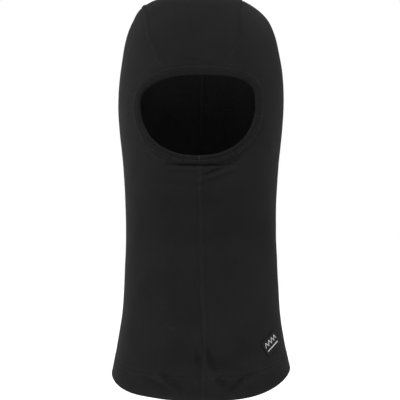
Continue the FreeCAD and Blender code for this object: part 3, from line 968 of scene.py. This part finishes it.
def round_uv(rows):
    """Round the body, by its mean radius, and down it."""
    angle = np.arctan2(rows[..., 0], -rows[..., 1])
    return np.stack([angle * 85 * MM, from_crown(rows)], -1)


def panel(name, grid, uv, material, hem=False):
    rows = grid
    outer, inner = np.zeros(len(grid)), np.full(len(grid), -THICKNESS)
    if hem:
        rows, outer, inner = with_hem(grid)
    points, faces, kinds = closed_sheet(cloth(rows, outer[:, None]), cloth(rows, inner[:, None]))
    places = np.concatenate([uv(rows).reshape(-1, 2)] * 2)
    edge = np.exp(-abs(HEM - from_crown(rows)) / (1.5 * MM)) * hem
    piece = new_piece(name, "_cloth", points, faces, [material, FLEECE],
                      uv=places, kinds=kinds, wear=np.concatenate([edge.ravel()] * 2))


# ---- face band


def band_section():
    """Outward distance and lift round the band's folded strip, from its outer edge over the top, round
    the fold, back along the inside, and then along the inner side of the strip. The last result is 1
    on the outer face."""
    fold = (BAND_TOP - BAND_BACK) / 2
    core = fold - (BAND_TOP - BAND_GAP)
    middle = (BAND_TOP + BAND_BACK) / 2
    top = np.array([0.15, 0.5, 1.0, 1.25, 1.5, 2.2, 3.0, 3.8, 4.6, 5.0, 5.25, 5.5, 6.2, 7.2])
    back = np.array([2.8, 4.0, 5.2, 6.4, 7.6, 8.4])
    turn = np.linspace(math.pi / 2, 3 * math.pi / 2, 11)
    inner_turn = turn[::-2]
    stretches = (
        ([BAND_WIDTH - 0.05 * MM, BAND_WIDTH + 0.05 * MM], [BAND_GAP, 0.65 * MM]),
        (BAND_WIDTH - top * MM, BAND_TOP),
        (fold + fold * np.cos(turn), middle + fold * np.sin(turn)),
        (back * MM, BAND_BACK),
        ([8.75 * MM, 8.8 * MM], [-2.2 * MM, -1.6 * MM]),
        ([7 * MM, 4 * MM], -1.5 * MM),
        (fold + core * np.cos(inner_turn), middle + core * np.sin(inner_turn)),
        ([5 * MM, 8 * MM], BAND_GAP))
    outward, rise = np.concatenate([spread_out(*stretch) for stretch in stretches], 1)
    is_top = np.zeros(len(outward))
    is_top[2:2 + len(top) + 4] = 1
    return outward, rise, is_top


def rim_angles(count):
    """Directions evenly spaced along the opening's edge."""
    fine = np.linspace(0, 2 * math.pi, 721)
    length = lengths_along(opening_outline(fine))
    return np.interp(np.arange(count) / count * length[-1], length, fine)


RIM_STEPS = 330


def ring_grid(outward, rise):
    """Points and cloth places of a strip's section swept round the opening."""
    angles = rim_angles(RIM_STEPS)
    rise = np.broadcast_to(rise, (RIM_STEPS, len(outward)))
    points = cloth(rim(angles[:, None], outward[None, :]), rise)
    length = Track(rim(angles, 0), closed=True).length
    along = np.arange(RIM_STEPS) / RIM_STEPS * length
    across = np.cumsum(np.hypot(np.diff(outward, prepend=outward[0]), np.diff(rise[0], prepend=rise[0, 0])))
    return points, np.stack(np.broadcast_arrays(along[:, None], across[None, :]), -1)


def face_band():
    outward, rise, is_top = band_section()
    steps = np.arange(RIM_STEPS)[:, None]
    puff = 0.22 * np.sin(math.pi * np.clip((outward - BAND_ROWS[0]) / (BAND_ROWS[1] - BAND_ROWS[0]), 0, 1))
    puff += 0.12 * np.sin(math.pi * np.clip(outward / BAND_ROWS[0], 0, 1))
    groove = sum(bell(outward - row, 0.45 * MM) for row in BAND_ROWS)
    # the stitching gathers the strip a little, so its puff and edge vary along it
    gather = 1 + 0.35 * np.sin(steps * 0.9) * np.sin(steps * 0.23 + 1)
    # the strip's cut edge lies flat under its cover stitches
    height = rise - is_top * 0.55 * MM * smooth((outward - BAND_ROWS[1]) / (BAND_WIDTH - BAND_ROWS[1]))
    height = height + is_top * MM * (puff * gather - 0.3 * groove * (0.8 + 0.2 * np.sin(steps * 2.6)))
    points, places = ring_grid(outward, height)
    faces = grid_faces(*points.shape[:2], wrap_rows=True, wrap_columns=True)
    edge = bell(outward - 0.3 * MM, 0.9 * MM) + bell(outward - BAND_WIDTH, 0.5 * MM)
    wear = np.broadcast_to(edge * 0.8, points.shape[:2])
    return new_piece("face_band", "_cloth", points, faces, [BAND_KNIT], uv=places, wear=wear)


def face_elastic():
    """Flat ribbed elastic inside the band's fold."""
    ribs = 13
    t = np.linspace(0, 1, ribs)
    low, high = 1.4 * MM, 5.3 * MM
    bulge = 0.05 * MM * np.cos(np.arange(ribs) * math.pi)
    outward = np.concatenate([low + (high - low) * t, high - (high - low) * t])
    rise = -0.6 * MM + np.concatenate([0.26 * MM + bulge, -0.26 * MM - bulge])
    points, places = ring_grid(outward, rise)
    faces = grid_faces(*points.shape[:2], flip=True, wrap_rows=True, wrap_columns=True)
    new_piece("face_elastic", "_ribbed", points, faces, [ELASTIC], uv=places)


def ring_track(outward):
    return Track(rim(rim_angles(400), outward), closed=True)


def thread_piece(node, parts, inside=(), material=None):
    """A piece made of threads, on the outer face and on the inside."""
    points, faces = joined([*parts, *inside])
    outer_count = sum(len(part_faces) for _, part_faces in parts)
    kinds = np.arange(len(faces)) >= outer_count
    new_piece(node, "_threads", points, faces, [material or THREAD, INSIDE_THREAD], kinds=kinds)


def face_band_threads():
    rows = []
    for i, outward in enumerate(BAND_ROWS):
        track = ring_track(outward)
        rows.append(stitches(track, 0, track.length, 0, BAND_TOP - 0.12 * MM, 2.3 * MM, 0.5 * i))
    middle = ring_track(sum(BAND_ROWS) / 2)
    half = (BAND_ROWS[1] - BAND_ROWS[0]) / 2
    cover = zigzag(middle, 0, middle.length, half, BAND_TOP + 0.3 * MM, 1.25 * MM)
    thread_piece("face_band_stitching", [*rows, cover])
    looper = zigzag(middle, 0, middle.length, half, BAND_BACK - COVER, 1.2 * MM)
    thread_piece("face_band_looper", [], [looper])
    tack = Track(rim(np.full(30, TACK_ANGLE), np.linspace(0.4 * MM, 4.2 * MM, 30)))
    bars = [stitches(tack, 0, tack.length, aside * MM, BAND_TOP + 0.15 * MM, tack.length)
            for aside in (-0.6, -0.2, 0.2, 0.6)]
    wrap = zigzag(tack, 0.2 * MM, tack.length - 0.2 * MM, 0.75 * MM, BAND_TOP + 0.45 * MM, 0.42 * MM)
    thread_piece("face_band_join", [*bars, wrap])


# ---- seams and hem


def seam_threads(name, track, start, end, inside_end):
    """A flat seam: four needle rows over a cover thread on the outer face, and a looper inside."""
    top, inside = 0.12 * MM, -THICKNESS - 0.2 * MM
    parts = [zigzag(track, start, end, SEAM_HALF, top, 1.3 * MM)]
    for i, aside in enumerate((-1.6, -0.55, 0.55, 1.6)):
        parts.append(stitches(track, start, end, aside * MM, top + 0.22 * MM, shift=0.5 * (i % 2)))
    loops = [zigzag(track, start, inside_end, SEAM_HALF, inside, 1.1 * MM)]
    for aside in (-1.2, 0, 1.2):
        loops.append(zigzag(track, start, inside_end, 0.35 * MM, inside - 0.3 * MM, 1.4 * MM, aside * MM))
    thread_piece(name, parts, loops)


def all_seams():
    t = np.linspace(0, 1, 400)
    past_band = BAND_WIDTH - RAW_EDGE + 0.2 * MM
    for name, side in (("crown_seam_left", 1), ("crown_seam_right", -1)):
        track = Track(crown_line(side, t))
        end = track.length - 3.2 * MM
        seam_threads(name, track, past_band, end, end)
    chin = rim(CHIN_ANGLE, RAW_EDGE)
    edge = HEM - 0.6 * MM
    under_hem = 1.5 * MM - HEM_FOLD
    front = Track(between(chin, (float(FRONT_SEAM[0](-edge)), -edge), t))
    seam_threads("front_seam", front, past_band, front.length - 1 * MM, front.length + under_hem)
    start = (float(BACK_SEAM[0](CROWN_END)), CROWN_END - 3 * MM)
    back = Track(between(start, (float(BACK_SEAM[0](edge)), edge), t))
    seam_threads("back_seam", back, 0, back.length - 1 * MM, back.length + under_hem)


def hem_track(above):
    angle = np.linspace(0, 2 * math.pi, 700, endpoint=False)
    return Track((HEM - above) * np.stack([np.sin(angle), np.cos(angle)], -1), closed=True)


def hem_threads():
    rows = []
    for i, above in enumerate(HEM_ROWS):
        track = hem_track(above)
        rows.append(stitches(track, 0, track.length, 0, 0.08 * MM, 2.5 * MM, 0.5 * i))
    thread_piece("hem_stitching", rows)
    middle = hem_track(sum(HEM_ROWS) / 2)
    inside = -2 * FOLD_RADIUS - 0.2 * MM
    thread_piece("hem_looper", [], [zigzag(middle, 0, middle.length, 2.2 * MM, inside, 1.4 * MM)])


# ---- labels


LABEL_LENGTH = 26 * MM
LABEL_HEIGHT = 16 * MM
LABEL_TILT = math.radians(31)
LABEL_LOW = 0.25 * MM       # heights of its two faces over the fabric
LABEL_TOP = 0.85 * MM
LABEL_MARGIN = 1.3 * MM     # from its edge to its stitches
LABEL_MIDDLE = pattern_of(cad_points("label_patch").mean(0))


def on_label(u, v, lift):
    """Points over the label: u along it, towards the back, and v across it."""
    u, v, lift = spread_out(u, v, lift)
    pattern = np.broadcast_to(LABEL_MIDDLE, (*u.shape, 2)).copy()
    steps = 6
    for _ in range(steps):
        along_p, along_q = slopes(pattern)
        normal = unit(np.cross(along_p, along_q))
        up = unit(np.array([0, 0, 1.0]) - normal * normal[..., 2:])
        back = np.cross(up, normal)
        along = back * math.cos(LABEL_TILT) + up * math.sin(LABEL_TILT)
        across = up * math.cos(LABEL_TILT) - back * math.sin(LABEL_TILT)
        pattern = move_on(pattern, along_p, along_q, (along * u[..., None] + across * v[..., None]) / steps)
    return cloth(pattern, lift)


def label_patch():
    """Damask label with both ends folded under, so that they are thicker."""
    half_u, half_v = LABEL_LENGTH / 2, LABEL_HEIGHT / 2
    u = half_u * np.sin(np.linspace(-1, 1, 61) * math.pi / 2)
    v = half_v * np.sin(np.linspace(-1, 1, 39) * math.pi / 2)
    u, v = np.meshgrid(u, v, indexing="ij")
    from_end, from_side = (half_u - abs(u)) / MM, (half_v - abs(v)) / MM

    def rounded(inside, radius):
        """An edge's round profile: 0 at the edge, 1 from this radius inwards."""
        return np.sqrt(np.clip(1 - (1 - np.clip(inside / radius, 0, 1)) ** 2, 0, 1))

    folded_under = 4.2
    extra = 0.16 * MM * smooth((folded_under - from_end) / 0.8)
    groove = 0.12 * MM * bell(np.minimum(from_end, from_side) - LABEL_MARGIN / MM, 0.35)
    thickness = LABEL_TOP - LABEL_LOW + extra - groove
    thickness = thickness * rounded(from_end, 0.45) * rounded(from_side, 0.3)
    ripple = 0.06 * MM * np.sin(u / MM * 1.3) * np.exp(-from_side)
    outer = on_label(u, v, LABEL_LOW + thickness + ripple)
    inner = on_label(u, v, LABEL_LOW - 0.02 * MM + 0 * u)
    points, faces, _ = closed_sheet(outer, inner)
    places = np.concatenate([np.stack([u, v], -1).reshape(-1, 2)] * 2)
    return new_piece("label_patch", "_woven", points, faces[:, ::-1], [LABEL_CLOTH], uv=places)


def floats(half, low, high):
    """Short weft floats side by side, which fill the shape between two lines."""
    spacing, radius = 0.27 * MM, 0.16 * MM
    x = np.arange(-half + spacing / 2, half, spacing)
    t = np.linspace(0, 1, 6)
    v = low(x)[:, None] * (1 - t) + high(x)[:, None] * t
    lift = LABEL_TOP - 0.05 * MM + radius * np.sin(math.pi * t) ** 0.5 + 0 * x[:, None]
    return threads(on_label(x[:, None] + 0 * t, v, lift), radius)


def label_motif():
    """A plain zigzag ridge over a bar: no lettering."""
    half, strokes, height, thick = 10 * MM, 8, 4.5 * MM, 1.8 * MM
    bar_low, bar_high = -4.5 * MM, -3.3 * MM
    step = 2 * half / strokes

    def ridge(x):
        rising = (x + half) / step % 2
        return -1 * MM + height * np.where(rising < 1, rising, 2 - rising)

    peaks = floats(half, ridge, lambda x: ridge(x) + thick)
    bar = floats(half, lambda x: bar_low + 0 * x, lambda x: bar_high + 0 * x)
    thread_piece("label_motif", [peaks, bar], material=LABEL_YARN)


def label_stitching():
    """Needle stitches round the label's edge."""
    half_u, half_v = LABEL_LENGTH / 2 - LABEL_MARGIN, LABEL_HEIGHT / 2 - LABEL_MARGIN
    pitch = 2.1 * MM
    corners = [(-half_u, -half_v), (half_u, -half_v), (half_u, half_v), (-half_u, half_v)]
    t = np.linspace(0.04, 0.96, 7)      # a stitch fills this much of its pitch
    paths = []
    for (u0, v0), (u1, v1) in zip(corners, corners[1:] + corners[:1]):
        count = round(math.hypot(u1 - u0, v1 - v0) / pitch)
        share = (np.arange(count)[:, None] + t) / count
        lift = LABEL_TOP + NEEDLE * (2.4 * np.sin(math.pi * t) ** 0.6 - 1.5) + 0 * share
        paths.append(on_label(u0 + (u1 - u0) * share, v0 + (v1 - v0) * share, lift))
    thread_piece("label_stitching", [threads(np.concatenate(paths), NEEDLE)])


def care_label():
    """A blank satin loop, sewn in at the back seam: two leaves and a soft fold at the bottom."""
    low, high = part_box("care_label")
    width, hang = high.x - low.x, high.z - low.z
    middle_x, middle_y, top = (low.x + high.x) / 2, (low.y + high.y) / 2, high.z
    half, leaf = 0.28 * MM, 0.14 * MM       # half the loop's thickness, and its ribbon's
    turn = np.linspace(0, math.pi, 11)[1:-1]
    leaf_drop = np.linspace(0, hang - half, 26)
    drop = np.concatenate([leaf_drop, hang - half + half * np.sin(turn), leaf_drop[::-1]])
    y = np.concatenate([np.full(26, half), half * np.cos(turn), np.full(26, -half)])
    z, below = top - drop, drop / hang
    x = np.linspace(-width / 2, width / 2, 31)
    inward = np.sign(y) * leaf
    curl = 0.5 * MM * below[:, None] * (x[None] / (width / 2)) ** 2
    wave = 0.25 * MM * np.sin(below[:, None] * 7 + x[None] * 190) * below[:, None]
    shape = np.broadcast_to(z[:, None], wave.shape)

    def skin(offset):
        depth = middle_y + (y - offset)[:, None] - curl + wave
        return np.stack([np.broadcast_to(middle_x + x, wave.shape), depth, shape], -1)

    points, faces, _ = closed_sheet(skin(0 * y), skin(inward))
    length = lengths_along(np.stack([y, z], -1))
    places = np.stack(np.broadcast_arrays(x[None], length[:, None]), -1).reshape(-1, 2)
    piece = new_piece("care_label", "_loop", points, faces, [SATIN], "care_label_body",
                      uv=np.concatenate([places] * 2))


def care_label_tack():
    """The short row of stitches that holds the loop's cut ends."""
    low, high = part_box("care_label_tack")
    count = 10
    pitch = (high.x - low.x) / count
    t = np.linspace(0, 1, 7)
    x = low.x + pitch * (np.arange(count)[:, None] + 0.08 + 0.84 * t)
    z = (low.z + high.z) / 2 + 0 * x
    y = low.y - 0.1 * MM - 0.25 * MM * np.sin(math.pi * t) + 0.3 * MM + 0 * x
    thread_piece("care_label_tack", [threads(np.stack([x, y, z], -1), NEEDLE)])


# ---- the garment


make_camera()
make_stage()
panel("crown_panel", crown_grid(), lambda rows: rows, CROWN_KNIT_PAINTED_SHADE)
for panel_name, panel_side in (("left_side_panel", 1), ("right_side_panel", -1)):
    panel(panel_name, side_grid(panel_side), round_uv, SHELL_KNIT, hem=True)
face_band()
face_elastic()
face_band_threads()
all_seams()
hem_threads()
label_patch()
label_motif()
label_stitching()
care_label()
care_label_tack()
